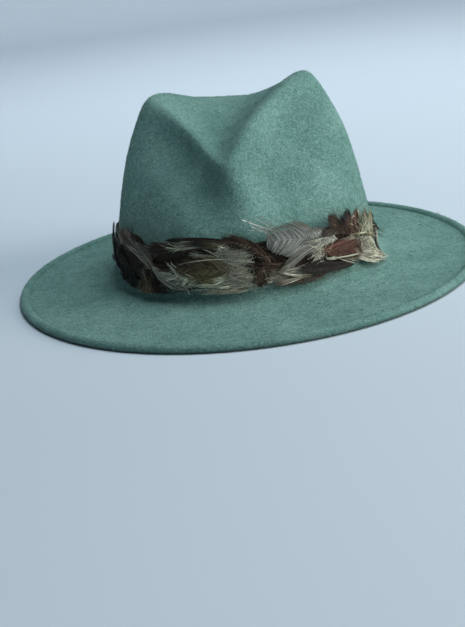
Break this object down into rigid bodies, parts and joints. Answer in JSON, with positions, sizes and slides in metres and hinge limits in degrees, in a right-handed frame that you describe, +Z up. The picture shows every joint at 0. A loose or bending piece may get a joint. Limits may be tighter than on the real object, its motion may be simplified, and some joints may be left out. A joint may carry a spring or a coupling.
{
  "type": "fedora",
  "caption": "Soft felt fedora with a wide welted brim, a centre dent, a pinched front and a band of short feathers, hollow and open below for a head.",
  "frame": {"origin": "middle of the brim's underside, on the surface that the hat rests on", "axes": "+Z up through the crown, -Y towards the pinched front, +X towards the wearer's left as the hat faces the viewer"},
  "size_m": [0.3138, 0.3406, 0.1264],
  "materials": {
    "felt": "matte brushed wool felt, dusty green",
    "feathers": "soft feathers in brown, rust, grey and cream"
  },
  "bodies": {
    "root": {"felt_body": "felt", "feather_band": "feathers"}
  },
  "joints": []
}
